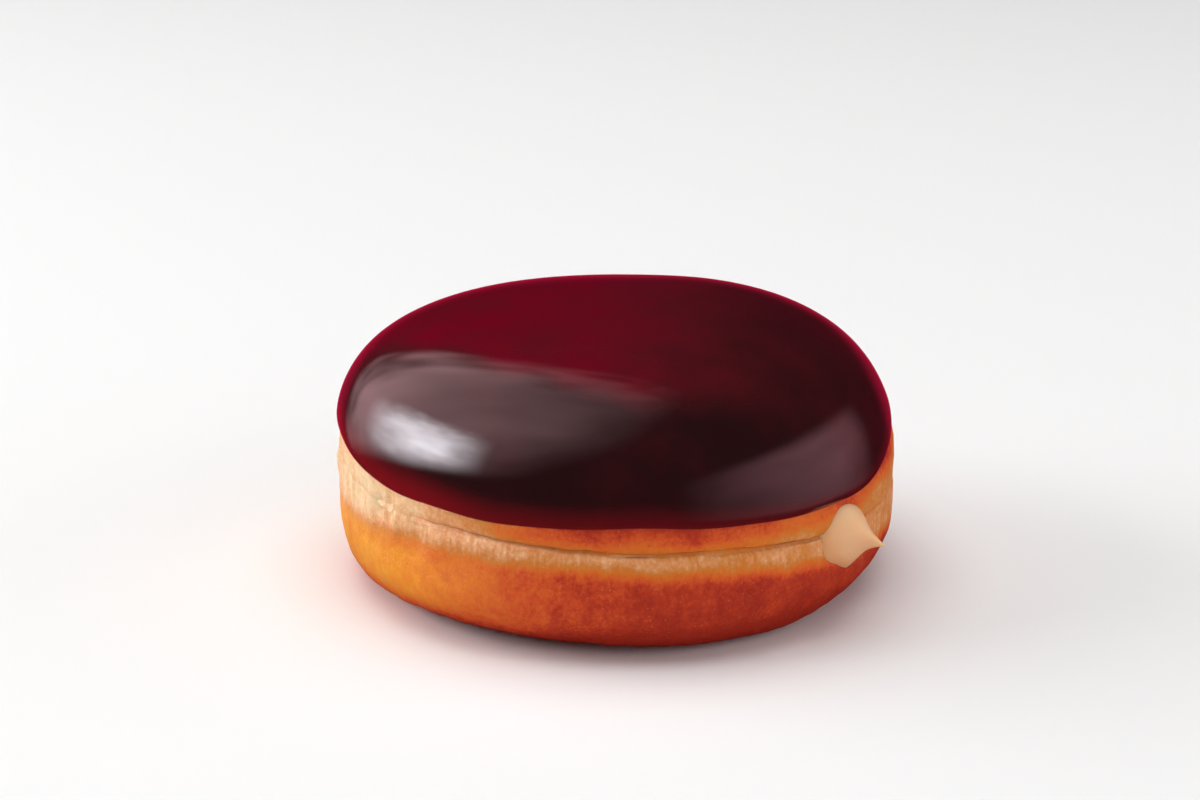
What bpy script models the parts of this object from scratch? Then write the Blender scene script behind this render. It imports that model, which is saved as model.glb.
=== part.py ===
"""A boston cream doughnut: a filled yeast dough, dark icing over its top, and the custard.

Metres, +Z up. The doughnut stands on its flat foot, whose centre is the origin. Azimuth is
measured round +Z from the front, -Y, towards the right, +X. Each piece starts as a ball, and
every point of the ball is laid on that piece's own surface.
"""

import functools
import math

import bmesh
import bpy
from mathutils import Vector

MM = 0.001

# The dough's outline at the average azimuth, from the foot up.
FOOT_R = 32.2 * MM  # the flat that it stands on
LOBE_R = 45 * MM  # the lower, browner lobe at its widest
LOBE_Z = 11.6 * MM
CREASE_R = 44.7 * MM  # the proof line, where the two lobes meet
CREASE_Z = 18.5 * MM
CREASE_DEPTH = 0.35 * MM
CREASE_HALF_WIDTH = 0.9 * MM
ROLL_R = 44.8 * MM  # the upper lobe at its widest
ROLL_Z = 21.4 * MM
TOP_Z = 42.85 * MM  # the dough's top, under the icing
DOME_FLATNESS = 4.0  # a larger power keeps the top flat for longer
DOME_SHOULDER = 2.02  # 2 is a round shoulder, and less is a softer one

# Gentle waves round the doughnut: (crests, size, azimuth of one crest in degrees).
FOOT_WAVES = ((1, 2.9 * MM, -101), (2, 2.5 * MM, 62), (3, 2.8 * MM, 28))
GIRTH_WAVES = ((1, 0.31 * MM, 180), (2, 0.3 * MM, 28), (3, 0.41 * MM, 4), (4, 0.19 * MM, -34))
LOBE_WAVES = ((1, 0.3 * MM, 174), (2, 0.9 * MM, 71))
CREASE_WAVES = ((1, 1.3 * MM, -95), (2, 0.57 * MM, -49), (3, 0.29 * MM, 9), (8, 0.12 * MM, 20))
ROLL_WAVES = ((1, 2.4 * MM, -94), (2, 1.0 * MM, -92))
TOP_WAVES = ((1, 0.51 * MM, 63), (2, 0.1 * MM, -63), (3, 0.14 * MM, -18))
TOP_WAVES_REACH = 0.6  # the share of the radius where they have grown to full size

# The icing, dipped over the top.
ICING_GAP = 0.3 * MM
ICING_TOP = 1.5 * MM  # how far its face stands off the dough at the middle
ICING_RIM = 0.55 * MM  # and close to its edge
ICING_LIP = 1.4 * MM  # the length over which the edge rounds off
ICING_EDGE_Z = 24.22 * MM
ICING_EDGE_WAVES = (
    (1, 1.67 * MM, 171),
    (2, 1.56 * MM, -80),
    (3, 0.87 * MM, -10),
    (4, 0.99 * MM, 7),
    (5, 0.32 * MM, 35),
    (9, 0.16 * MM, 2),
)

# The custard: a pocket in the middle, the filling hole's neck, and the dollop outside.
FILLING_AZIMUTH = math.radians(50.6)
POCKET_WIDE_R = 24 * MM
POCKET_LONG_R = 25 * MM
POCKET_SQUASH = 0.4  # its height over its width
POCKET_Z = 21 * MM
NECK_R = 3.6 * MM
DOLLOP_R = 5.6 * MM
DOLLOP_SQUASH = 1.02
DOLLOP_Z = 14.9 * MM
DOLLOP_BACK = 41.3 * MM  # distances from the doughnut's axis
DOLLOP_RIM = 42.3 * MM
DOLLOP_TIP = 52.3 * MM
DOLLOP_BULGE = 2.35  # how full it stays before it draws out to its tip
DOLLOP_POINT = 2.07
DOLLOP_LIFT = 0.75 * MM  # how far its tip turns up
DOLLOP_HUMP = 0.55 * MM  # and its middle arches
DOLLOP_CORNERS = ((3, 0.065, -63), (4, 0.065, -70))  # soft corners round it, as shares of its radius
CUSTARD_GAP = 0.3 * MM

# Facets: steps round, and rings from the top's centre down to the foot's.
STEPS_ROUND = 72
DOME_RINGS = 12
ROLL_RINGS = 5
BAND_RINGS = 5
HEEL_RINGS = 7
FOOT_RINGS = 3
ICING_RINGS = 22
CUSTARD_STEPS = 28
DOLLOP_RINGS = 10
BACK_RINGS = 2
NECK_RINGS = 2
POCKET_RINGS = 11

CREASE_RING = DOME_RINGS + ROLL_RINGS
LOBE_RING = CREASE_RING + BAND_RINGS
HEEL_RING = LOBE_RING + HEEL_RINGS
DOUGH_RINGS = HEEL_RING + FOOT_RINGS
RIM_RING = DOLLOP_RINGS + BACK_RINGS
MOUTH_RING = RIM_RING + NECK_RINGS
CUSTARD_RINGS = MOUTH_RING + POCKET_RINGS

QUARTER = math.pi / 2
RING_STEP = 0.001  # a small part of a ring or of a radian, for slopes
SMOOTH_ANGLE = math.radians(50)

# Colours are linear.
DOUGH_COLOUR = (0.55, 0.20, 0.05)
ICING_COLOUR = (0.035, 0.006, 0.006)
CUSTARD_COLOUR = (0.80, 0.58, 0.30)


def clear_scene():
    for thing in list(bpy.data.objects):
        bpy.data.objects.remove(thing)


def material(name, colour, roughness):
    made = bpy.data.materials.new(name)
    made.use_nodes = True
    shader = made.node_tree.nodes["Principled BSDF"]
    shader.inputs["Base Color"].default_value = (*colour, 1)
    shader.inputs["Roughness"].default_value = roughness
    shader.inputs["Metallic"].default_value = 0
    return made


def waves(azimuth, terms):
    """The sum of the waves at this azimuth."""
    return sum(size * math.cos(crests * (azimuth - math.radians(at))) for crests, size, at in terms)


def between(start, end, share):
    return start + (end - start) * share


def eased(low, high, value):
    """0 below low, 1 above high, and an easy slope between."""
    share = min(1, max(0, (value - low) / (high - low)))
    return share * share * (3 - 2 * share)


def about_axis(azimuth, radius, height):
    return Vector((math.sin(azimuth) * radius, -math.cos(azimuth) * radius, height))


def dough_section(azimuth, ring):
    """(radius, height) of the dough's skin without the crease's groove."""
    girth = waves(azimuth, GIRTH_WAVES)
    roll_r, roll_z = ROLL_R + girth, ROLL_Z + waves(azimuth, ROLL_WAVES)
    crease_r, crease_z = CREASE_R + girth, CREASE_Z + waves(azimuth, CREASE_WAVES)
    lobe_r, lobe_z = LOBE_R + girth, LOBE_Z + waves(azimuth, LOBE_WAVES)
    foot_r = FOOT_R + waves(azimuth, FOOT_WAVES)
    if ring <= DOME_RINGS:
        reach = math.sin(QUARTER * ring / DOME_RINGS)
        top_z = TOP_Z + waves(azimuth, TOP_WAVES) * eased(0, TOP_WAVES_REACH, reach)
        rise = (1 - reach**DOME_FLATNESS) ** (1 / DOME_SHOULDER)
        return roll_r * reach, between(roll_z, top_z, rise)
    if ring <= CREASE_RING:
        turn = QUARTER * (ring - DOME_RINGS) / ROLL_RINGS
        return between(crease_r, roll_r, math.cos(turn)), between(roll_z, crease_z, math.sin(turn))
    if ring <= LOBE_RING:
        turn = QUARTER * (ring - CREASE_RING) / BAND_RINGS
        return between(crease_r, lobe_r, math.sin(turn)), between(lobe_z, crease_z, math.cos(turn))
    if ring <= HEEL_RING:
        turn = QUARTER * (ring - LOBE_RING) / HEEL_RINGS
        return between(foot_r, lobe_r, math.cos(turn)), between(lobe_z, 0, math.sin(turn))
    return between(foot_r, 0, (ring - HEEL_RING) / FOOT_RINGS), 0


def dough_point(azimuth, ring, lift=0):
    """A point of the dough's skin, raised square to the skin by lift."""
    radius, height = dough_section(azimuth, ring)
    off_crease = (height - CREASE_Z - waves(azimuth, CREASE_WAVES)) / CREASE_HALF_WIDTH
    groove = CREASE_DEPTH * math.exp(-(off_crease**2)) if ring < HEEL_RING else 0
    point = about_axis(azimuth, radius - groove, height)
    if lift == 0:
        return point
    if ring < RING_STEP:
        return point + Vector((0, 0, lift))
    down = dough_point(azimuth, ring + RING_STEP) - dough_point(azimuth, ring - RING_STEP)
    across = dough_point(azimuth + RING_STEP, ring) - dough_point(azimuth - RING_STEP, ring)
    return point + down.cross(across).normalized() * lift


@functools.cache
def icing_edge_ring(azimuth):
    """Where the icing ends: a ring of the dough, not a whole number, found by halving."""
    edge_z = ICING_EDGE_Z + waves(azimuth, ICING_EDGE_WAVES)
    above, below = 0, CREASE_RING
    for _ in range(30):
        middle = (above + below) / 2
        if dough_section(azimuth, middle)[1] > edge_z:
            above = middle
        else:
            below = middle
    return above


def icing_point(azimuth, share):
    """A point of the icing: its face from the middle to the edge, then its underside back."""
    edge = icing_edge_ring(azimuth)
    ring = edge * math.sin(math.pi * share)
    if share > 0.5:
        return dough_point(azimuth, ring, ICING_GAP)
    to_edge = (dough_point(azimuth, edge) - dough_point(azimuth, ring)).length
    off_lip = 1 - min(1, to_edge / ICING_LIP)
    depth = between(ICING_RIM, ICING_TOP, eased(0, ROLL_R, to_edge))
    return dough_point(azimuth, ring, between(ICING_GAP, depth, math.sqrt(1 - off_lip**2)))


def custard_section(ring):
    """(distance from the doughnut's axis, radius), from the dollop's tip to the pocket's end."""
    if ring <= DOLLOP_RINGS:
        height = 1 - ring / DOLLOP_RINGS
        radius = DOLLOP_R * (1 - height) ** DOLLOP_POINT * (1 + DOLLOP_BULGE * height)
        return between(DOLLOP_RIM, DOLLOP_TIP, height), radius
    if ring <= RIM_RING:
        share = (ring - DOLLOP_RINGS) / BACK_RINGS
        return between(DOLLOP_RIM, DOLLOP_BACK, share), between(DOLLOP_R, NECK_R, share)
    mouth_turn = math.asin(NECK_R / POCKET_WIDE_R)
    if ring <= MOUTH_RING:
        share = (ring - RIM_RING) / NECK_RINGS
        return between(DOLLOP_BACK, POCKET_LONG_R * math.cos(mouth_turn), share), NECK_R
    turn = between(mouth_turn, math.pi, (ring - MOUTH_RING) / POCKET_RINGS)
    return POCKET_LONG_R * math.cos(turn), POCKET_WIDE_R * math.sin(turn)


def custard_point(around, ring, grow=0):
    """A point of the custard, with the whole of it swollen by grow."""
    distance, radius = custard_section(ring)
    nearer = custard_section(max(0, ring - RING_STEP))
    farther = custard_section(min(CUSTARD_RINGS, ring + RING_STEP))
    out = Vector((farther[1] - nearer[1], nearer[0] - farther[0])).normalized() * grow
    height = max(0, (distance - DOLLOP_RIM) / (DOLLOP_TIP - DOLLOP_RIM))
    squash = between(POCKET_SQUASH, 1, eased(0.4 * POCKET_LONG_R, POCKET_LONG_R, distance))
    squash = between(squash, DOLLOP_SQUASH, eased(DOLLOP_BACK, DOLLOP_RIM, distance))
    centre_z = between(POCKET_Z, DOLLOP_Z, eased(0.4 * POCKET_LONG_R, DOLLOP_BACK, distance))
    centre_z += DOLLOP_LIFT * height + DOLLOP_HUMP * 4 * height * (1 - height)
    corners = 1 + waves(around, DOLLOP_CORNERS) * (1 - height) * eased(DOLLOP_BACK, DOLLOP_RIM, distance)
    side = about_axis(FILLING_AZIMUTH + QUARTER, 1, 0)
    centre = about_axis(FILLING_AZIMUTH, distance + out.x, centre_z)
    wide = (radius * corners + out.y) * math.cos(around)
    high = (radius * corners * squash + out.y) * math.sin(around)
    return centre + side * wide + Vector((0, 0, high))


def laid_ball(name, steps, rings, place, finish=None):
    """An object made from a ball whose points go where place(angle round, ring) says."""
    work = bmesh.new()
    bmesh.ops.create_uvsphere(work, u_segments=steps, v_segments=rings, radius=1)
    for vertex in work.verts:
        start = vertex.co.normalized()
        ring = rings * math.acos(max(-1, min(1, start.z))) / math.pi
        step = round(steps * math.atan2(start.y, start.x) / math.tau)
        vertex.co = place(math.tau * step / steps, round(ring))
    bmesh.ops.recalc_face_normals(work, faces=work.faces)
    mesh = bpy.data.meshes.new(name)
    work.to_mesh(mesh)
    work.free()
    mesh.shade_smooth()
    mesh.set_sharp_from_angle(angle=SMOOTH_ANGLE)
    if finish:
        mesh.materials.append(finish)
    made = bpy.data.objects.new(name, mesh)
    bpy.context.scene.collection.objects.link(made)
    return made


def make_dough(finish):
    """The yeast dough, hollow only where the custard fills it."""
    dough = laid_ball("dough", STEPS_ROUND, DOUGH_RINGS, dough_point, finish)
    hollow = laid_ball(
        "custard_hollow",
        CUSTARD_STEPS,
        CUSTARD_RINGS,
        lambda around, ring: custard_point(around, ring, CUSTARD_GAP),
    )
    hollow.hide_render = True
    hollow.display_type = "WIRE"
    cut = dough.modifiers.new("hollow for the custard", "BOOLEAN")
    cut.operation = "DIFFERENCE"
    cut.object = hollow


def make_icing(finish):
    laid_ball(
        "icing",
        STEPS_ROUND,
        ICING_RINGS,
        lambda azimuth, ring: icing_point(azimuth, ring / ICING_RINGS),
        finish,
    )


def make_custard(finish):
    laid_ball("custard", CUSTARD_STEPS, CUSTARD_RINGS, custard_point, finish)


def main():
    clear_scene()
    make_dough(material("fried_dough", DOUGH_COLOUR, 0.55))
    make_icing(material("chocolate_icing", ICING_COLOUR, 0.18))
    make_custard(material("vanilla_custard", CUSTARD_COLOUR, 0.35))


main()
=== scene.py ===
import math
import random

import bmesh
import bpy
import numpy as np
from mathutils import Matrix, Vector


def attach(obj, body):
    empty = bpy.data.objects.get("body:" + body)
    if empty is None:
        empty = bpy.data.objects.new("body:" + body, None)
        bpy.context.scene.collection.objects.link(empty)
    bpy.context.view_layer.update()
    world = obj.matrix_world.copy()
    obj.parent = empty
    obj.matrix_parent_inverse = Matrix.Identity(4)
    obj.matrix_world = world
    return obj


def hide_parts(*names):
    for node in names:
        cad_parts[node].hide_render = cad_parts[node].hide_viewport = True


# A boston cream doughnut in a small studio. Lengths of the food are in millimetres until its
# points are written. Azimuth is measured from the front, -Y, towards the right, +X.

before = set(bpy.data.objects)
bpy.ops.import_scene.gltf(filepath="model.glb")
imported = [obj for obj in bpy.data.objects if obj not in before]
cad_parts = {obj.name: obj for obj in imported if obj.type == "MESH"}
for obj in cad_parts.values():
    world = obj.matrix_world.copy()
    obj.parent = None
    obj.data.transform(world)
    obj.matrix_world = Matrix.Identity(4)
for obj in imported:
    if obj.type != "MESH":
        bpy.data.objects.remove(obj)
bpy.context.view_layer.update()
print("frame loaded:", ", ".join(sorted(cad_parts)))

scene = bpy.context.scene
mm = 0.001
quarter = math.pi / 2


# Camera

view = {
    "elevation": 18,  # degrees above the surface
    "distance": 0.4507,
    "targetHeight": 0.0225,
    "lens": 84,
    "sensor": 36,
    "shift": (-0.0142, 0.0289),
    "clip": (0.01, 20),
}


def direction(azimuth, elevation):
    a, e = math.radians(azimuth), math.radians(elevation)
    return Vector((math.sin(a) * math.cos(e), -math.cos(a) * math.cos(e), math.sin(e)))


def addCamera():
    back = direction(0, view["elevation"])
    data = bpy.data.cameras.new("camera")
    data.lens = view["lens"]
    data.sensor_width = view["sensor"]
    data.shift_x, data.shift_y = view["shift"]
    data.clip_start, data.clip_end = view["clip"]
    camera = bpy.data.objects.new("camera", data)
    camera.location = Vector((0, 0, view["targetHeight"])) + back * view["distance"]
    camera.rotation_euler = (-back).to_track_quat("-Z", "Y").to_euler()
    scene.collection.objects.link(camera)
    scene.camera = camera


addCamera()


# Shared shaping helpers

def waves(azimuth, terms):
    # terms are (crests, size, degrees of one crest)
    return sum(size * np.cos(crests * (azimuth - np.radians(at))) for crests, size, at in terms)


def between(start, end, share):
    return start + (end - start) * share


def eased(low, high, value):
    # 0 at low, 1 at high, with soft ends
    share = np.clip((value - low) / (high - low), 0, 1)
    return share * share * (3 - 2 * share)


def bell(offset, halfWidth):
    return np.exp(-((offset / halfWidth) ** 2))


def tableAt(table, place, column=1, period=None):
    # reads between the rows of a table whose first column is the place
    columns = list(zip(*table))
    return np.interp(place, columns[0], columns[column], period=period)


def roundTable(table, degrees, column=1):
    return tableAt(table, degrees, column, period=360)


def fromFront(azimuth):
    # in degrees, from -180 to 180
    return (np.degrees(azimuth) + 180) % 360 - 180


def azimuthOf(points):
    return np.arctan2(points[:, 0], -points[:, 1])


def aboutAxis(azimuth, radius, height):
    return np.stack([np.sin(azimuth) * radius, -np.cos(azimuth) * radius, height + 0 * radius], axis=-1)


def grain(points, size, octaves=3, seed=0, crossing=26, falloff=0.55):
    # unevenness about -1 to 1 made of crossing waves; size is the width of its coarsest lumps
    draw = np.random.default_rng(seed)
    total = 0
    for octave in range(octaves):
        facing = draw.normal(size=(crossing, 3))
        facing /= np.linalg.norm(facing, axis=1, keepdims=True)
        length = 2 * size * draw.uniform(0.7, 1.5, crossing) / 2**octave
        start = draw.uniform(0, math.tau, crossing)
        ripples = np.cos(points @ (facing * math.tau / length[:, None]).T + start)
        total = total + ripples.sum(axis=1) * falloff**octave
    return total / math.sqrt(crossing) * 0.6


def upright(points, share):
    # flattens heights, so that a grain draws out upwards
    return points * (1, 1, share)


def unitNormals(skin, azimuth, run, step=0.002):
    # square to a skin(azimuth, run) whose run goes down the outside
    down = skin(azimuth, run + step) - skin(azimuth, np.maximum(run - step, 0))
    across = skin(azimuth + step, run) - skin(azimuth - step, run)
    normals = np.cross(down, across)
    length = np.linalg.norm(normals, axis=-1, keepdims=True)
    flat = length[..., 0] < 1e-9
    normals = normals / np.maximum(length, 1e-12)
    normals[flat] = (0, 0, 1)
    return normals


def layBall(name, steps, rings, place):
    # a grid laid round as a ball: place(azimuth, share of the way from top to bottom) says where
    work = bmesh.new()
    bmesh.ops.create_grid(work, x_segments=steps, y_segments=rings, size=1)
    flat = np.array([vertex.co for vertex in work.verts])
    azimuth = np.round((flat[:, 0] + 1) / 2 * steps) / steps * math.tau
    share = np.round((1 - flat[:, 1]) / 2 * rings) / rings
    for vertex, point in zip(work.verts, place(azimuth, share) * mm):
        vertex.co = point
    bmesh.ops.remove_doubles(work, verts=work.verts, dist=0.0002 * mm)  # the seam and the poles
    bmesh.ops.recalc_face_normals(work, faces=work.faces)
    mesh = bpy.data.meshes.new(name)
    work.to_mesh(mesh)
    work.free()
    mesh.shade_smooth()
    piece = bpy.data.objects.new(name, mesh)
    scene.collection.objects.link(piece)
    return piece


def runAlong(share, rings):
    # from a share of all rings to a run that counts 1 for each stretch of them
    ends = np.cumsum((0,) + rings)
    return np.interp(share * ends[-1], ends, np.arange(len(ends)))


def meshPoints(mesh):
    points = np.empty(len(mesh.vertices) * 3, np.float32)
    mesh.vertices.foreach_get("co", points)
    return points.reshape(-1, 3) / mm


def paint(piece, name, *channels):
    # up to four values at each point, for the piece's material
    values = np.ones((len(piece.data.vertices), 4), np.float32)
    for place, channel in enumerate(channels):
        values[:, place] = channel
    layer = piece.data.attributes.new(name, "FLOAT_COLOR", "POINT")
    layer.data.foreach_set("color", values.ravel())


# Shared helpers for materials

def newMaterial(name):
    material = bpy.data.materials.new(name)
    material.use_nodes = True
    return material, material.node_tree, material.node_tree.nodes["Principled BSDF"]


def feed(tree, socket, value):
    if isinstance(value, bpy.types.NodeSocket):
        tree.links.new(value, socket)
    else:
        socket.default_value = value


def addNode(tree, kind, inputs, **settings):
    node = tree.nodes.new(kind)
    for name, value in settings.items():
        setattr(node, name, value)
    for name, value in inputs.items():
        feed(tree, node.inputs[name], value)
    return node


def noiseAt(tree, place, scale, detail=3.0):
    inputs = {"Vector": place, "Scale": scale, "Detail": detail, "Roughness": 0.6}
    return addNode(tree, "ShaderNodeTexNoise", inputs).outputs["Fac"]


def stretch(tree, value, low, high, toLow, toHigh, ends="LINEAR"):
    inputs = {"Value": value, "From Min": low, "From Max": high, "To Min": toLow, "To Max": toHigh}
    return addNode(tree, "ShaderNodeMapRange", inputs, interpolation_type=ends).outputs["Result"]


def mottle(tree, place, scale, detail, low, high):
    # noise that reaches from low to high
    return stretch(tree, noiseAt(tree, place, scale, detail), 0.3, 0.7, low, high)


def sumOf(tree, first, *others):
    for other in others:
        first = addNode(tree, "ShaderNodeMath", {0: first, 1: other}, operation="ADD").outputs[0]
    return first


def productOf(tree, first, second):
    return addNode(tree, "ShaderNodeMath", {0: first, 1: second}, operation="MULTIPLY").outputs[0]


def mixColour(tree, share, first, second):
    return addNode(tree, "ShaderNodeMix", {0: share, 6: first, 7: second}, data_type="RGBA").outputs[2]


def colourRamp(tree, value, stops):
    ramp = addNode(tree, "ShaderNodeValToRGB", {"Fac": value})
    steps = ramp.color_ramp.elements
    while len(steps) < len(stops):
        steps.new(1.0)
    for step, (position, _) in zip(steps, stops):
        step.position = position
    for step, (_, colour) in zip(steps, stops):
        step.color = (*colour, 1)
    return ramp.outputs["Color"]


def objectPlace(tree, *scale):
    place = tree.nodes.new("ShaderNodeTexCoord").outputs["Object"]
    if scale:
        place = addNode(tree, "ShaderNodeMapping", {"Vector": place, "Scale": scale}).outputs["Vector"]
    return place


def painted(tree, name):
    # the four values that paint laid on the piece
    attribute = addNode(tree, "ShaderNodeAttribute", {}, attribute_name=name)
    parts = addNode(tree, "ShaderNodeSeparateColor", {"Color": attribute.outputs["Color"]}).outputs
    return (*parts, attribute.outputs["Alpha"])


def dots(tree, place, scale, core, edge, strength, where):
    # small dots, kept only where the last value allows
    cells = addNode(tree, "ShaderNodeTexVoronoi", {"Vector": place, "Scale": scale}).outputs["Distance"]
    return productOf(tree, stretch(tree, cells, core, edge, strength, 0), where)


def bump(tree, shader, height, strength, distance):
    inputs = {"Height": height, "Strength": strength, "Distance": distance}
    made = addNode(tree, "ShaderNodeBump", inputs)
    tree.links.new(made.outputs["Normal"], shader.inputs["Normal"])


def letLightIn(shader, weight, radius, scale):
    shader.inputs["Subsurface Weight"].default_value = weight
    shader.inputs["Subsurface Radius"].default_value = radius
    shader.inputs["Subsurface Scale"].default_value = scale


# Dough

# a wave is (crests, size, degrees of one crest); a table of frying is (degrees, frying) from 0,
# pale, to 1, deep brown; the frying also holds painted shade, darker and redder away from the
# key light on the left, and darker under the icing's lip
dough = {
    "foot": 32.2,
    "footWaves": ((1, 2.9, -101), (2, 2.5, 62), (3, 2.8, 28)),
    "girthWaves": ((1, 0.31, 180), (2, 0.3, 28), (3, 0.41, 4), (4, 0.19, -34)),
    "lobe": (45, 11.6),  # radius and height of the lower lobe at its widest
    "lobeWaves": ((1, 0.3, 174), (2, 0.9, 71)),
    "crease": (44.7, 18.5),  # the proof line between the lobes
    "creaseWaves": ((1, 1.3, -95), (2, 0.57, -49), (3, 0.29, 9), (8, 0.12, 20)),
    "creaseGroove": (0.35, 0.9),  # depth and half-width
    "creaseCrack": (0.4, 0.25),
    "crackRagged": (0.5, 5),  # how much its depth varies, and over what width
    "crackLeast": 0.2,  # and how little and how much of the depth it can have
    "crackMost": 2,
    "creaseWander": (0.2, 4),  # height and width of its wandering
    "creaseFrom": (-48, -26),  # degrees over which it comes out of the puckers
    "creaseTo": (52, 68),  # and ends past the custard
    "creaseLeast": 0.08,
    "roll": (44.8, 21.4),  # the upper lobe at its widest
    "rollWaves": ((1, 2.4, -94), (2, 1.0, -92)),
    "top": 42.85,
    "topWaves": ((1, 0.51, 63), (2, 0.1, -63), (3, 0.14, -18)),
    "topWavesFull": 0.6,  # share of the way out to the roll where they are full
    "dome": (4.0, 2.02),  # flatness of the top, roundness of its shoulder
    "steps": 600,
    "rings": (16, 20, 42, 44, 4),  # in the dome, roll, band, heel and foot
    # low relief, as height and width
    "lumps": (0.16, 9),
    "dimples": (0.05, 2.2),
    "wrinkles": (0.02, 0.9),
    "pleats": (0.08, 1.1),  # in the pale band
    "pleatsAt": (1.6, 2.0),  # how far below the crease, and half-width
    "pleatsDrawn": 0.3,  # the share of their heights that is left, so that they draw out upwards
    "puckers": (0.42, 1.9),  # at the left
    "puckersAt": (0.6, 3.4),
    "puckersDrawn": 0.2,
    "puckersSink": 0.3,  # how much deeper they are than proud
    "puckersFrom": (-110, -85),  # degrees over which they start
    "puckersTo": (-48, -28),
    "blisters": 150,
    "blisterRadius": (0.4, 1.0),
    "blisterRun": (1.0, 3.9),  # where on the side, as the run of doughSection
    "blisterHeight": 0.16,  # of one with a radius of 1
    "bareBelowIcing": (0.0, 0.8),  # how far below the icing the relief starts and is full
    "bareAboveFoot": (0.15, 1.2),
    # frying, with painted shade in it
    "fryAndShadeAtIcing": (
        (-90, 0.02), (-60, 0.02), (-45, 0.08), (-33, 0.22), (-22, 0.52), (-12, 0.82), (-5, 0.97),
        (15, 0.97), (35, 0.78), (52, 0.72), (75, 0.96), (100, 0.94), (180, 0.5),
    ),
    "fryAndShadeAtCrease": (
        (-90, 0.02), (-60, 0.04), (-45, 0.1), (-20, 0.38), (0, 0.54), (35, 0.42), (65, 0.34),
        (180, 0.3),
    ),
    "fryAndShadeInBand": (
        (-90, 0.02), (-60, 0.05), (-42, 0.13), (-20, 0.22), (10, 0.29), (50, 0.29), (90, 0.26),
        (180, 0.16),
    ),
    "fryAndShadeLower": (
        (-90, 0.36), (-60, 0.42), (-29, 0.68), (-12, 0.76), (5, 0.91), (40, 0.92), (75, 0.92),
        (180, 0.6),
    ),
    "darkFoot": (0.42, 7.5, 0.5),  # how much more, as painted shade where the foot meets the floor, and the heights where it starts and is full
    "nearIcing": (3.5, 0.5),  # how far below the icing it starts and is full
    "fryAndShadeRagged": (0.3, 4),  # height and width of what frays the ends of the frying and its painted shade
    "fryAndShadeDrawn": (0.3, 0.6),  # the share of heights that is left in it, at the icing and lower down
    "paleLow": 13.64,  # height where the pale band gives way to the browned lobe
    "paleLowWaves": ((1, 1.77, -61), (2, 1.33, -21), (3, 0.29, 46)),
    "paleEnds": (2.2, -2.0),  # over which heights about there
    # the golden left is partly the frying's colour and partly painted light where the key light falls
    "goldenFrom": (-165, -115),  # degrees over which the golden left starts
    "goldenTo": (-16, -52),
    "goldenTop": (0.5, -3.0),  # heights about the pale band's end
    "goldenFoot": (3, 9.5),
    "streaksAt": (2.0, 3.0),  # how far below the crease, and half-width
    "streaksTop": 0.3,  # how far above it they end
    "creaseShadeLine": 0.28,  # half-width of its dark line, painted shade in the crack
    # surface
    "stops": (  # frying with painted shade, and its colour
        (0.0, (0.92, 0.66, 0.38)),
        (0.12, (0.86, 0.48, 0.23)),
        (0.25, (0.75, 0.32, 0.125)),
        (0.38, (0.66, 0.225, 0.036)),
        (0.5, (0.72, 0.170, 0.013)),
        (0.62, (0.72, 0.130, 0.013)),
        (0.74, (0.68, 0.082, 0.011)),
        (0.86, (0.52, 0.038, 0.007)),
        (1.0, (0.38, 0.020, 0.005)),
    ),
    "broad": (95, 3, -0.07, 0.07),  # lumps to the metre, detail, and how much they fry
    "medium": (420, 4, -0.07, 0.07),
    "fine": (1500, 4, -0.075, 0.075),
    "drawn": (1300, 4),  # lumps to the metre and detail of those that are drawn out upwards
    "drawnOut": (1, 1, 0.22),
    "streaks": (0.35, 0.65, -0.05, 0.07),  # a range of the drawn lumps, and how much it fries
    # painted shade in the crack of the proof line
    "creaseShadeColour": (0.42, 0.15, 0.05, 1),
    "creaseShadeShare": 0.65,
    "golden": (0.98, 0.38, 0.012, 1),
    "goldenShare": (-0.1, 0.12, 0.85, 0.3),  # a range of the broad and medium, and how golden
    # light specks along the drawn-out folds: painted highlights, partly pale dry crust
    "speck": (0.92, 0.45, 0.16, 1),
    "specks": (1350, 0.09, 0.22, 0.26),  # cells to the metre, core, edge, strength
    "specksWhere": (0.46, 0.58, 0, 1),  # a range of the drawn lumps, and how much they show there
    # dark pores: painted shade in small dents, which the bump also makes
    "pore": (0.30, 0.035, 0.016, 1),
    "pores": (690, 0.07, 0.15, 0.5),
    "poresWhere": (0.01, 0.05, 0, 1),  # the same for the medium lumps
    "poreDepth": -0.4,
    "ridges": (0.3, 0.7, 0, 0.16),  # a range of the drawn lumps, and how high it stands
    "bump": (0.55, 0.0006),  # strength and distance
    "specular": 0.22,
    "roughness": (-0.06, 0.06, 0.44, 0.6),  # a range of the medium lumps, and how rough it is
    "lightIn": (0.12, (1.0, 0.35, 0.1), 0.0012),  # share, reach of each colour, scale
}


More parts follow.
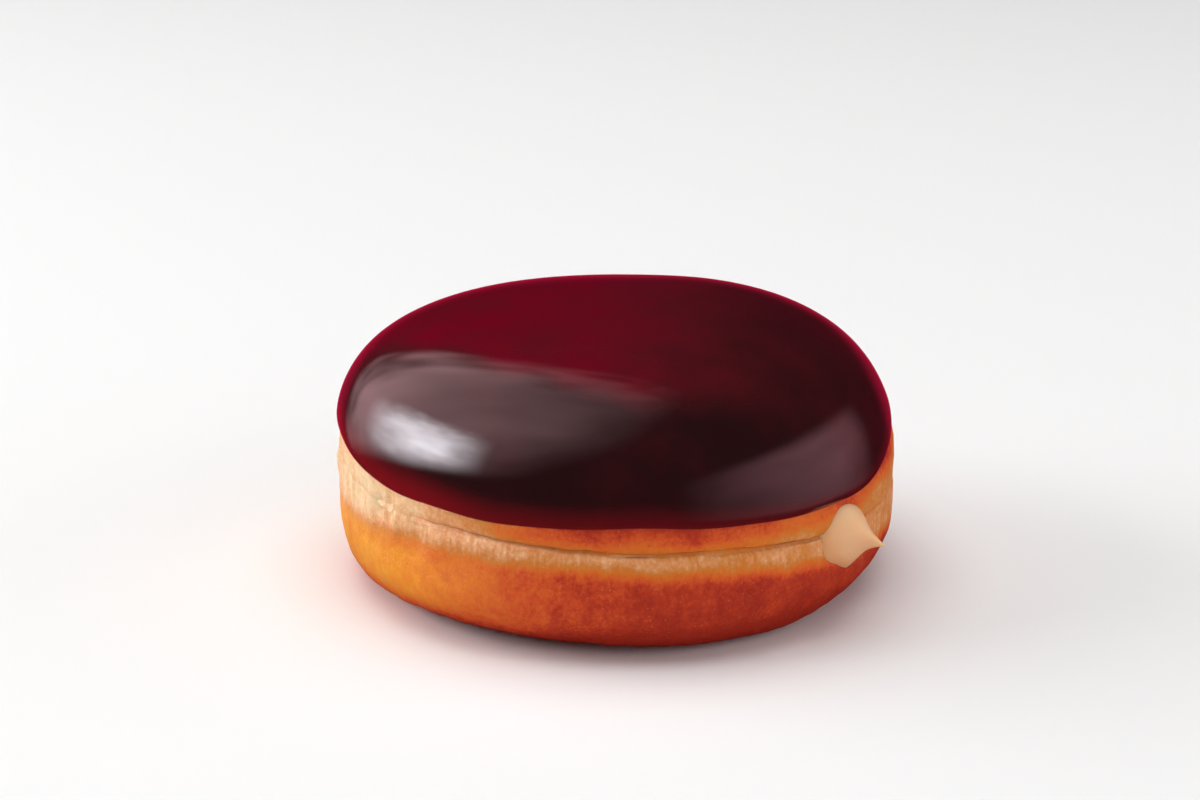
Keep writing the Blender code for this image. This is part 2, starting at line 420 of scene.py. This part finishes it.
def doughSection(azimuth, run):
    # radius and height of the skin; run is 0 at the top, then 1 more past each of the dome,
    # roll, band, heel and foot
    girth = waves(azimuth, dough["girthWaves"])
    rollR, rollZ = dough["roll"][0] + girth, dough["roll"][1] + waves(azimuth, dough["rollWaves"])
    creaseR, creaseZ = dough["crease"][0] + girth, creaseHeight(azimuth)
    lobeR, lobeZ = dough["lobe"][0] + girth, dough["lobe"][1] + waves(azimuth, dough["lobeWaves"])
    footR = dough["foot"] + waves(azimuth, dough["footWaves"])
    flatness, shoulder = dough["dome"]
    reach = np.sin(quarter * np.clip(run, 0, 1))
    roll, band, heel = (quarter * np.clip(run - start, 0, 1) for start in (1, 2, 3))
    topZ = dough["top"] + waves(azimuth, dough["topWaves"]) * eased(0, dough["topWavesFull"], reach)
    rise = (1 - reach**flatness) ** (1 / shoulder)
    parts = [run <= 1, run <= 2, run <= 3, run <= 4]
    radii = [
        rollR * reach,
        between(creaseR, rollR, np.cos(roll)),
        between(creaseR, lobeR, np.sin(band)),
        between(footR, lobeR, np.cos(heel)),
    ]
    heights = [
        between(rollZ, topZ, rise),
        between(rollZ, creaseZ, np.sin(roll)),
        between(lobeZ, creaseZ, np.cos(band)),
        between(lobeZ, 0, np.sin(heel)),
    ]
    return np.select(parts, radii, footR * (5 - run)), np.select(parts, heights, 0)


def creaseHeight(azimuth):
    return dough["crease"][1] + waves(azimuth, dough["creaseWaves"])


def creaseStrength(azimuth):
    # how sharp the proof line is: it fades among the puckers at the left and past the custard
    degrees = fromFront(azimuth)
    front = eased(*dough["creaseFrom"], degrees) * (1 - eased(*dough["creaseTo"], degrees))
    return between(dough["creaseLeast"], 1, front)


def doughSkin(azimuth, run):
    radius, height = doughSection(azimuth, run)
    depth, halfWidth = dough["creaseGroove"]
    groove = depth * bell(height - creaseHeight(azimuth), halfWidth) * creaseStrength(azimuth)
    return aboutAxis(azimuth, radius - groove * (run < 4), height)


def runAtHeight(azimuth, height, last):
    # where the dough's skin comes down to a height, found by halving
    above, below = np.zeros_like(azimuth), np.full_like(azimuth, last)
    for _ in range(30):
        middle = (above + below) / 2
        higher = doughSection(azimuth, middle)[1] > height
        above, below = np.where(higher, middle, above), np.where(higher, below, middle)
    return above


def creaseWander(points):
    height, width = dough["creaseWander"]
    return height * grain(upright(points, 0), width, seed=5)


def scatterOnSide(count, seed):
    # seeded places on the bare side of the dough, as azimuth, run and radius, mostly small
    draw = random.Random(seed)
    for _ in range(count):
        turn, drop = draw.uniform(-math.pi, math.pi), draw.uniform(*dough["blisterRun"])
        yield turn, drop, between(*dough["blisterRadius"], draw.random() ** 2)


def leftPuckers(points, degrees, offCrease):
    # upright folds, deeper than they are proud, that gather the skin about the proof line
    height, width = dough["puckers"]
    below, halfWidth = dough["puckersAt"]
    there = eased(*dough["puckersFrom"], degrees) * (1 - eased(*dough["puckersTo"], degrees))
    folds = grain(upright(points, dough["puckersDrawn"]), width, 2, seed=2)
    return height * there * bell(offCrease + below, halfWidth) * (folds - dough["puckersSink"])


def bandPleats(points, offCrease):
    height, width = dough["pleats"]
    below, halfWidth = dough["pleatsAt"]
    pleats = grain(upright(points, dough["pleatsDrawn"]), width, 2, seed=3)
    return height * bell(offCrease + below, halfWidth) * pleats


def creaseCrack(points, azimuth, offCrease):
    depth, halfWidth = dough["creaseCrack"]
    varies, width = dough["crackRagged"]
    ragged = 1 + varies * grain(upright(points, 0), width, 2, seed=4)
    depth = depth * creaseStrength(azimuth) * np.clip(ragged, dough["crackLeast"], dough["crackMost"])
    return depth * bell(offCrease - creaseWander(points), halfWidth)


def blisters(points):
    raised = np.zeros(len(points))
    for turn, drop, radius in scatterOnSide(dough["blisters"], seed=6):
        centre = doughSkin(np.array([turn]), np.array([drop]))[0]
        away = np.linalg.norm(points - centre, axis=1)
        near = away < 2.5 * radius
        raised[near] += dough["blisterHeight"] * radius * bell(away[near], radius)
    return raised


def unevenness(points, name, octaves, seed):
    height, width = dough[name]
    return height * grain(points, width, octaves, seed)


def doughRelief(azimuth, points):
    # how far each point moves out: nothing under the icing and on the foot
    height = points[:, 2]
    offCrease = height - creaseHeight(azimuth)
    raised = unevenness(points, "lumps", 3, 0) + unevenness(points, "dimples", 2, 1)
    raised += leftPuckers(points, fromFront(azimuth), offCrease)
    raised += bandPleats(points, offCrease)
    raised += unevenness(points, "wrinkles", 2, 11)
    raised -= creaseCrack(points, azimuth, offCrease)
    raised += blisters(points)
    belowIcing = icingEdgeHeight(azimuth) - height
    return raised * eased(*dough["bareBelowIcing"], belowIcing) * eased(*dough["bareAboveFoot"], height)


def placeDough(azimuth, share):
    run = runAlong(share, dough["rings"])
    points = doughSkin(azimuth, run)
    out = unitNormals(doughSkin, azimuth, np.clip(run, 0, 3.99))
    return points + out * doughRelief(azimuth, points)[:, None]


def crustColours(points):
    # frying with painted shade, from 0, pale, to 1, deep brown; how much the pale band streaks; the
    # dark crease, painted shade in its crack; and how golden the left of the lower lobe is, partly
    # painted light where the key falls
    azimuth = azimuthOf(points)
    degrees = np.degrees(azimuth)
    height = points[:, 2]
    offCrease = height - creaseHeight(azimuth) - creaseWander(points)
    frayed, width = dough["fryAndShadeRagged"]
    high, low = dough["fryAndShadeDrawn"]
    belowIcing = icingEdgeHeight(azimuth) - height - frayed * grain(upright(points, high), width, seed=9)
    # these tables hold painted shade as well as frying: darker to the right, away from the key light, and
    # under the icing's lip
    atCrease, atIcing = (roundTable(dough[name], degrees) for name in ("fryAndShadeAtCrease", "fryAndShadeAtIcing"))
    upper = between(atCrease, atIcing, eased(*dough["nearIcing"], belowIcing))
    ragged = frayed * grain(upright(points, low), width, seed=8)
    offPale = height - dough["paleLow"] - waves(azimuth, dough["paleLowWaves"]) - ragged
    more, footStart, footFull = dough["darkFoot"]
    # painted shade: darker towards the foot, where it meets the floor
    lower = roundTable(dough["fryAndShadeLower"], degrees) + more * eased(footStart, footFull, height)
    band = between(roundTable(dough["fryAndShadeInBand"], degrees), lower, eased(*dough["paleEnds"], offPale))
    fryAndShade = np.where(offCrease > 0, upper, band)
    below, halfWidth = dough["streaksAt"]
    streaks = bell(offCrease + below, halfWidth) * (offCrease < dough["streaksTop"])
    # the dark crease line is painted shade in the crack
    crease = creaseStrength(azimuth) * bell(offCrease, dough["creaseShadeLine"])
    # partly painted light: the lit left of the lower lobe is made more golden
    left = eased(*dough["goldenTo"], degrees) * eased(*dough["goldenFrom"], degrees)
    golden = left * eased(*dough["goldenTop"], offPale) * eased(*dough["goldenFoot"], height)
    return fryAndShade, streaks, crease, golden


def crustMaterial():
    material, tree, shader = newMaterial("fried_dough")
    place = objectPlace(tree)
    fryAndShade, streaks, crease, golden = painted(tree, "crust")
    broad, medium, fine = (mottle(tree, place, *dough[name]) for name in ("broad", "medium", "fine"))
    drawn = noiseAt(tree, objectPlace(tree, *dough["drawnOut"]), *dough["drawn"])
    streak = productOf(tree, stretch(tree, drawn, *dough["streaks"]), streaks)
    colour = colourRamp(tree, sumOf(tree, fryAndShade, broad, medium, fine, streak), dough["stops"])
    # painted shade along the crease
    colour = mixColour(tree, productOf(tree, crease, dough["creaseShadeShare"]), colour, dough["creaseShadeColour"])
    # the golden left, partly painted light
    unevenly = stretch(tree, sumOf(tree, broad, medium), *dough["goldenShare"])
    colour = mixColour(tree, productOf(tree, golden, unevenly), colour, dough["golden"])
    # painted highlights along the folds, partly pale dry crust
    speck = dots(tree, place, *dough["specks"], stretch(tree, drawn, *dough["specksWhere"]))
    colour = mixColour(tree, speck, colour, dough["speck"])
    # painted shade in the pores
    pore = dots(tree, place, *dough["pores"], stretch(tree, medium, *dough["poresWhere"]))
    colour = mixColour(tree, pore, colour, dough["pore"])
    tree.links.new(colour, shader.inputs["Base Color"])
    tree.links.new(stretch(tree, medium, *dough["roughness"]), shader.inputs["Roughness"])
    shader.inputs["Specular IOR Level"].default_value = dough["specular"]
    letLightIn(shader, *dough["lightIn"])
    dents = stretch(tree, pore, 0, 1, 0, dough["poreDepth"])
    ridges = stretch(tree, drawn, *dough["ridges"])
    bump(tree, shader, sumOf(tree, ridges, medium, fine, speck, dents), *dough["bump"])
    return material


def cutWith(piece, cutter):
    cut = piece.modifiers.new("hollow for the custard", "BOOLEAN")
    cut.operation = "DIFFERENCE"
    cut.solver = "MANIFOLD"  # the exact solver leaves nothing of this dough
    cut.object = cutter
    with bpy.context.temp_override(object=piece):
        bpy.ops.object.modifier_apply(modifier=cut.name)
    bpy.data.objects.remove(cutter)


def buildDough():
    piece = layBall("dough_crust", dough["steps"], sum(dough["rings"]), placeDough)
    cutWith(piece, layBall("custard_hollow", custard["hollowSteps"], sum(custard["rings"]), placeHollow))
    piece.data.set_sharp_from_angle(angle=math.radians(60))
    paint(piece, "crust", *crustColours(meshPoints(piece.data)))
    piece.data.materials.clear()  # the cut leaves an empty slot
    piece.data.materials.append(crustMaterial())
    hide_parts("dough")
    return piece


# Icing

# its tables run from the left, -X, to the right, or in degrees round from the front
icing = {
    "gap": 0.02,  # between it and the dough
    "top": 1.5,  # how far its face stands off the dough at the middle
    "rim": 0.55,  # and close to its edge
    "lip": 1.4,  # the length over which the edge rounds off
    "edge": 24.22,  # height of its edge
    "edgeWaves": (
        (1, 1.67, 171), (2, 1.56, -80), (3, 0.87, -10), (4, 0.99, 7), (5, 0.32, 35), (9, 0.16, 2),
        (17, 0.07, 5),
    ),
    "ripple": (0.05, 16),  # height and width
    "rippleEnds": (0, 6),  # how far from its edge the ripple starts and is full
    "steps": 420,
    "rings": 150,
    "redFrom": (  # across, and how far back the red of the top starts; this red is a painted reflection of a dark red backdrop, with painted light on the top left
        (-44, 0), (-36, -7), (-30, -15), (-22, -22), (-17, -27), (-8, -33), (3, -36), (20, -34),
        (45, -24),
    ),
    "redAcross": ((-45, 0.95), (-22, 0.85), (-5, 0.8), (10, 0.5), (20, 0.3), (30, 0.14), (45, 0.12)),
    "redEnds": (-2.5, 3.5),
    "redUneven": (14, 0.8, 3),  # width, and how far it shifts the red back and across
    "softer": (1.5, -15, -35),  # how much softer its start is at the left, and from where to where
    "darkBack": (0.45, 36, 43),  # how much less of the painted red there is behind, and from where to where
    "rimBand": (  # degrees, how red the edge shows there as a painted reflection at grazing angles, and over what height
        (-90, 0.9, 6.5), (-45, 0.95, 6.2), (-25, 0.6, 4.8), (-8, 0.46, 4.4), (15, 0.38, 4.2),
        (60, 0.3, 3.0), (80, 0.7, 4.5), (110, 0.7, 6.0), (180, 0.5, 6.0),
    ),
    "rimFoot": 0.3,  # height over the edge where the red is full
    "thinEdge": (0.12, 0.8, 0.2),  # how much redder the last of it is, and over what heights
    "stops": (  # painted red, and its colour
        (0.0, (0.0160, 0.0052, 0.0056)),
        (0.35, (0.050, 0.0060, 0.0080)),
        (0.6, (0.088, 0.0055, 0.0100)),
        (1.0, (0.150, 0.0020, 0.0105)),
    ),
    # crimson of the painted edge reflection and of the icing's thin last edge
    "rimColour": (0.21, 0.006, 0.010, 1),
    "cloud": (75, 4, -0.16, 0.16),
    "roughness": 0.07,
}


def icingEdgeHeight(azimuth):
    return icing["edge"] + waves(azimuth, icing["edgeWaves"])


def placeIcing(azimuth, share):
    edge = runAtHeight(azimuth, icingEdgeHeight(azimuth), 2.0)
    run = edge * np.sin(math.pi * share)
    skin = doughSkin(azimuth, run)
    out = unitNormals(doughSkin, azimuth, run)
    toEdge = np.linalg.norm(doughSkin(azimuth, edge) - skin, axis=1)
    offLip = 1 - np.clip(toEdge / icing["lip"], 0, 1)
    depth = between(icing["rim"], icing["top"], eased(0, dough["roll"][0], toEdge))
    rippleHeight, rippleWidth = icing["ripple"]
    ripple = rippleHeight * grain(skin, rippleWidth, 2, seed=7)
    depth = depth + ripple * eased(*icing["rippleEnds"], toEdge)
    face = between(icing["gap"], depth, np.sqrt(1 - offLip**2))
    return skin + out * np.where(share > 0.5, icing["gap"], face)[:, None]


def glazeColours(points):
    # how much of the painted red reflection and light the icing shows, and how red its edge is: a painted
    # reflection along the sides and front, and the thin last of it
    azimuth = azimuthOf(points)
    degrees = np.degrees(azimuth)
    across, depth = points[:, 0], points[:, 1]
    up = points[:, 2] - icingEdgeHeight(azimuth)
    width, shiftsBack, shiftsAcross = icing["redUneven"]
    uneven = grain(points, width, seed=10)
    most, start, full = icing["softer"]
    spread = 1 + most * eased(start, full, across)
    # the painted red reflection of the top
    offRed = depth - tableAt(icing["redFrom"], across) + shiftsBack * uneven
    red = eased(*icing["redEnds"], offRed / spread)
    darker, start, full = icing["darkBack"]
    red = red * (1 - darker * eased(start, full, depth))
    red = red * tableAt(icing["redAcross"], across + shiftsAcross * uneven)
    # painted reflection: the edge shows red, more at the sides
    strength, reach = (roundTable(icing["rimBand"], degrees, column) for column in (1, 2))
    rim = strength * eased(reach, icing["rimFoot"], up)
    more, start, full = icing["thinEdge"]
    return red, np.clip(rim + more * eased(start, full, up), 0, 1)


def icingMaterial():
    material, tree, shader = newMaterial("chocolate_icing")
    redness, rim, _, _ = painted(tree, "glaze")
    cloud = mottle(tree, objectPlace(tree), *icing["cloud"])
    # painted red reflection and light over the icing's own dark brown
    colour = colourRamp(tree, sumOf(tree, redness, cloud), icing["stops"])
    tree.links.new(mixColour(tree, rim, colour, icing["rimColour"]), shader.inputs["Base Color"])
    shader.inputs["Roughness"].default_value = icing["roughness"]
    return material


def buildIcing():
    piece = layBall("icing_glaze", icing["steps"], icing["rings"], placeIcing)
    paint(piece, "glaze", *glazeColours(meshPoints(piece.data)))
    piece.data.materials.append(icingMaterial())
    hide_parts("icing")
    return piece


# Custard

custard = {
    "azimuth": 50.6,
    "pocket": (24, 25, 21),  # half-width, half-length, height
    "pocketSquash": 0.4,
    "neck": 3.6,
    "dollop": (5.6, 14.9),  # half-width, height
    "dollopSquash": 1.02,
    "back": 41.3,  # distances from the doughnut's axis
    "rim": 42.3,
    "tip": 52.1,
    "bulge": 2.35,  # how full the dollop is towards its tip
    "point": 2.07,  # how fast it narrows
    "tipRadius": 0.2,
    "tipCone": (0.36, 2.2),  # slope, and the length over which it ends
    "lift": 0.75,  # how far the tip rises
    "hump": 0.55,  # and the middle of the dollop
    "corners": ((3, 0.065, -63), (4, 0.065, -70)),
    "steps": 180,
    "hollowSteps": 90,  # in the hollow that the dough keeps for it
    "rings": (70, 8, 12, 40),  # in the dollop, its back, the neck and the pocket
    "gap": 0.05,  # how much larger that hollow is all over
    "pocketEnds": 0.4,  # share of its half-length where the pocket starts to narrow to the neck
    # how it melts at its low left edge
    "meltArm": 42,  # turns the angle off the dollop's middle into a distance
    "meltSlant": 0.8,  # how much the left counts as low
    "meltLow": (3.5, -4.5),  # heights over which it comes in
    "meltThin": (3.0, 0.2),  # how far the custard stands out where it starts and is full
    # surface
    "colours": ((0.89, 0.52, 0.27, 1), (0.92, 0.58, 0.335, 1)),
    "cloud": (160, 3, 0, 1),
    "melted": (0.86, 0.36, 0.13, 1),
    "meltShare": 0.6,
    "roughness": 0.34,
    "lightIn": (0.5, (1.0, 0.45, 0.2), 0.003),
    "grain": (500, 2),  # lumps to the metre and detail
    "bump": (0.1, 0.0004),  # strength and distance
}


def custardSection(run):
    # distance from the doughnut's axis, and radius; run is 0 at the tip, then 1 more past each
    # of the dollop, its back, the neck and the pocket
    dollopR, neckR = custard["dollop"][0], custard["neck"]
    wide, long, _ = custard["pocket"]
    mouth = math.asin(neckR / wide)
    height = 1 - np.clip(run, 0, 1)
    back, neck, pocket = (np.clip(run - start, 0, 1) for start in (1, 2, 3))
    turn = between(mouth, math.pi, pocket)
    parts = [run <= 1, run <= 2, run <= 3]
    distances = [
        between(custard["rim"], custard["tip"], height),
        between(custard["rim"], custard["back"], back),
        between(custard["back"], long * math.cos(mouth), neck),
    ]
    toTip = custard["tip"] - distances[0]
    slope, ending = custard["tipCone"]
    roundTip = custard["tipRadius"] * (1 - np.exp(-toTip * 2 / custard["tipRadius"])) ** 0.5
    swell = dollopR * (1 - height) ** custard["point"] * (1 + custard["bulge"] * height)
    radii = [
        np.hypot(swell + slope * toTip * bell(toTip, ending), roundTip),
        between(dollopR, neckR, back),
        neckR + 0 * neck,
    ]
    return np.select(parts, distances, long * np.cos(turn)), np.select(parts, radii, wide * np.sin(turn))


def custardPoints(around, run, grow):
    # grow swells it all over
    distance, radius = custardSection(run)
    step = 0.002
    aheadDistance, aheadRadius = custardSection(np.maximum(run - step, 0))
    behindDistance, behindRadius = custardSection(np.minimum(run + step, 4))
    out = np.stack([behindRadius - aheadRadius, aheadDistance - behindDistance], axis=-1)
    out = out / np.linalg.norm(out, axis=-1, keepdims=True) * grow
    out[:, 1] *= radius > 1e-6  # both ends stay closed
    height = np.maximum(0, (distance - custard["rim"]) / (custard["tip"] - custard["rim"]))
    long = custard["pocket"][1]
    ends = custard["pocketEnds"] * long
    squash = between(custard["pocketSquash"], 1, eased(ends, long, distance))
    squash = between(squash, custard["dollopSquash"], eased(custard["back"], custard["rim"], distance))
    toDollop = eased(ends, custard["back"], distance)
    centreZ = between(custard["pocket"][2], custard["dollop"][1], toDollop)
    centreZ = centreZ + custard["lift"] * height + custard["hump"] * 4 * height * (1 - height)
    onDollop = (1 - height) * eased(custard["back"], custard["rim"], distance)
    radius = radius * (1 + waves(around, custard["corners"]) * onDollop)
    filling = math.radians(custard["azimuth"])
    side = np.array([math.cos(filling), math.sin(filling), 0])
    wide = (radius + out[:, 1]) * np.cos(around)
    high = (radius * squash + out[:, 1]) * np.sin(around)
    return aboutAxis(filling, distance + out[:, 0], centreZ + high) + wide[:, None] * side


def placeCustard(around, share):
    return custardPoints(around, runAlong(share, custard["rings"]), 0)


def placeHollow(around, share):
    return custardPoints(around, runAlong(share, custard["rings"]), custard["gap"])


def custardMelt(points):
    # how much the custard thins out where its low left edge meets the dough
    azimuth = azimuthOf(points)
    skin = doughSection(azimuth, runAtHeight(azimuth, points[:, 2], 4.0))[0]
    out = np.hypot(points[:, 0], points[:, 1]) - skin
    aside = np.sin(azimuth - math.radians(custard["azimuth"])) * custard["meltArm"]
    lowness = points[:, 2] - custard["dollop"][1] + custard["meltSlant"] * aside
    return eased(*custard["meltThin"], out) * eased(*custard["meltLow"], lowness)


def custardMaterial():
    material, tree, shader = newMaterial("vanilla_custard")
    place = objectPlace(tree)
    colour = mixColour(tree, mottle(tree, place, *custard["cloud"]), *custard["colours"])
    melt = productOf(tree, painted(tree, "custard")[0], custard["meltShare"])
    tree.links.new(mixColour(tree, melt, colour, custard["melted"]), shader.inputs["Base Color"])
    shader.inputs["Roughness"].default_value = custard["roughness"]
    letLightIn(shader, *custard["lightIn"])
    bump(tree, shader, noiseAt(tree, place, *custard["grain"]), *custard["bump"])
    return material


def buildCustard():
    piece = layBall("custard_filling", custard["steps"], sum(custard["rings"]), placeCustard)
    paint(piece, "custard", custardMelt(meshPoints(piece.data)))
    piece.data.materials.append(custardMaterial())
    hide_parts("custard")
    return piece


for piece in (buildDough(), buildIcing(), buildCustard()):
    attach(piece, "root")
    print("built", piece.name, len(piece.data.polygons), "faces")


# Studio

# each light is a panel that shows from one direction to another, as (azimuth, elevation), with
# the share of it that fades off at its start, its end, below and above; it shows in what is dull,
# or only in what is glossy
lights = {
    "key": {"start": (-120, 11), "end": (-68, 30), "tall": 25, "away": 1.2, "watts": 9, "shows": "dull"},
    "left_scrim": {
        "start": (-124, 6), "end": (12, 60), "tall": 75, "away": 1.8, "watts": 32,
        "tint": (1.0, 0.95, 0.95), "fade": (0.08, 0.6, 0.8, 0.05), "shows": "dull",
    },
    "front_fill": {
        "start": (-20, 25), "end": (60, 25), "tall": 30, "away": 1.5, "watts": 7, "shows": "dull",
    },
    "right_fill": {
        "start": (60, 15), "end": (110, 15), "tall": 30, "away": 1.5, "watts": 6, "shows": "dull",
    },
    "top_fill": {
        "start": (-90, 60), "end": (90, 60), "tall": 60, "away": 1.5, "watts": 16, "shows": "dull",
    },
    "window": {
        "start": (-126.2, 2.8), "end": (-56.3, 27.9), "tall": 38.5, "away": 1.2, "glow": 12.8,
        "fade": (0.62, 0.40, 0.42, 0.40), "cloud": 0.3, "wobble": 0.03, "tint": (0.93, 0.94, 1.0),
        "shows": "gloss",
    },
    "veil": {
        "start": (-115.4, -29.0), "end": (34.6, 67.8), "tall": 107.1, "away": 1.8, "glow": 2.45,
        "fade": (0.55, 0.64, 0.46, 0.3), "corner": (0.881, 0.472, 0.478, 0.553), "cloud": 0.3,
        "wobble": 0.07, "tint": (1.0, 0.6, 0.63), "shows": "gloss",
    },
    "right_card": {
        "start": (22.2, 3.0), "end": (127.8, -1.7), "tall": 60, "away": 1.2, "glow": 1.6,
        "fade": (0.6, 0.4, 0.69, 0.2), "cloud": 0.2, "tint": (1.0, 0.46, 0.54), "shows": "gloss",
    },
    "back_card": {
        "start": (140, -8), "end": (-140, -8), "tall": 36, "away": 1.6, "glow": 0.4,
        "fade": (0.2, 0.2, 0.2, 0.4), "tint": (1.0, 0.012, 0.09), "shows": "gloss",
    },
}

studio = {
    "panelCloud": (3.5, 2),  # lumps across a panel, and detail
    "panelWobble": (9, 1),
    "floorHalf": 1.2,
    "floorDrop": 0.00005,  # below the foot
    "floorColour": (0.92, 0.92, 0.92, 1),
    "floorRoughness": 0.9,
    "backdrop": (0.95, 0.95, 0.95, 1),
    "inGloss": (0.09, 0.002, 0.010, 1),  # what the gloss shows where there is no panel
}


def fadePanel(data, light):
    # fades the panel's edges, and clouds it a little, over its own two directions
    data.use_nodes = True
    tree = data.node_tree
    own = tree.nodes.new("ShaderNodeNewGeometry").outputs["Parametric"]
    across, up, _ = addNode(tree, "ShaderNodeSeparateXYZ", {"Vector": own}).outputs
    cloud, wobble = light.get("cloud", 0), light.get("wobble", 0)
    strength = mottle(tree, own, *studio["panelCloud"], 1 - cloud, 1 + cloud)
    wavyUp = sumOf(tree, up, mottle(tree, own, *studio["panelWobble"], -wobble, wobble))
    start, end, below, above = light["fade"]
    edges = [(across, 0, start), (across, 1, 1 - end), (up, 0, below), (wavyUp, 1, 1 - above)]
    if "corner" in light:  # one corner is cut off, along a slanted line
        byAcross, byUp, low, high = light["corner"]
        slanted = sumOf(tree, productOf(tree, across, byAcross), productOf(tree, up, byUp))
        edges.append((slanted, low, high))
    for place, low, high in edges:
        strength = productOf(tree, strength, stretch(tree, place, low, high, 0, 1, "SMOOTHSTEP"))
    tree.links.new(strength, tree.nodes["Emission"].inputs["Strength"])


def addLight(name, light):
    start, end = direction(*light["start"]), direction(*light["end"])
    back = (start + end).normalized()
    along = (end - start).normalized()
    across = back.cross(along)
    data = bpy.data.lights.new(name, "AREA")
    data.shape = "RECTANGLE"
    data.size = 2 * light["away"] * math.tan(start.angle(end) / 2)
    data.size_y = 2 * light["away"] * math.tan(math.radians(light["tall"]) / 2)
    data.energy = light.get("watts", light.get("glow", 0) * data.size * data.size_y * math.pi)
    data.color = light.get("tint", (1, 1, 1))
    if "fade" in light:
        fadePanel(data, light)
    lamp = bpy.data.objects.new(name, data)
    turn = Matrix((along, across, back)).transposed().to_4x4()
    middle = back * light["away"] + Vector((0, 0, view["targetHeight"]))
    lamp.matrix_world = Matrix.Translation(middle) @ turn
    lamp.visible_glossy = light["shows"] == "gloss"
    lamp.visible_diffuse = light["shows"] == "dull"
    lamp.visible_camera = False
    scene.collection.objects.link(lamp)


def addFloor():
    work = bmesh.new()
    bmesh.ops.create_grid(work, x_segments=1, y_segments=1, size=studio["floorHalf"])
    mesh = bpy.data.meshes.new("floor")
    work.to_mesh(mesh)
    work.free()
    floor = bpy.data.objects.new("floor", mesh)
    floor.location.z = -studio["floorDrop"]
    floor.visible_glossy = False
    scene.collection.objects.link(floor)
    material, _, shader = newMaterial("pale_floor")
    shader.inputs["Base Color"].default_value = studio["floorColour"]
    shader.inputs["Roughness"].default_value = studio["floorRoughness"]
    shader.inputs["Specular IOR Level"].default_value = 0
    mesh.materials.append(material)


def addWorld():
    # pale behind the doughnut, dark red in its gloss
    world = bpy.data.worlds.new("studio")
    world.use_nodes = True
    tree = world.node_tree
    glossy = tree.nodes.new("ShaderNodeLightPath").outputs["Is Glossy Ray"]
    colour = mixColour(tree, glossy, studio["backdrop"], studio["inGloss"])
    tree.links.new(colour, tree.nodes["Background"].inputs["Color"])
    world.cycles_visibility.diffuse = False
    scene.world = world


for name, light in lights.items():
    addLight(name, light)
addFloor()
addWorld()
scene.view_settings.view_transform = "Standard"
print("studio set")
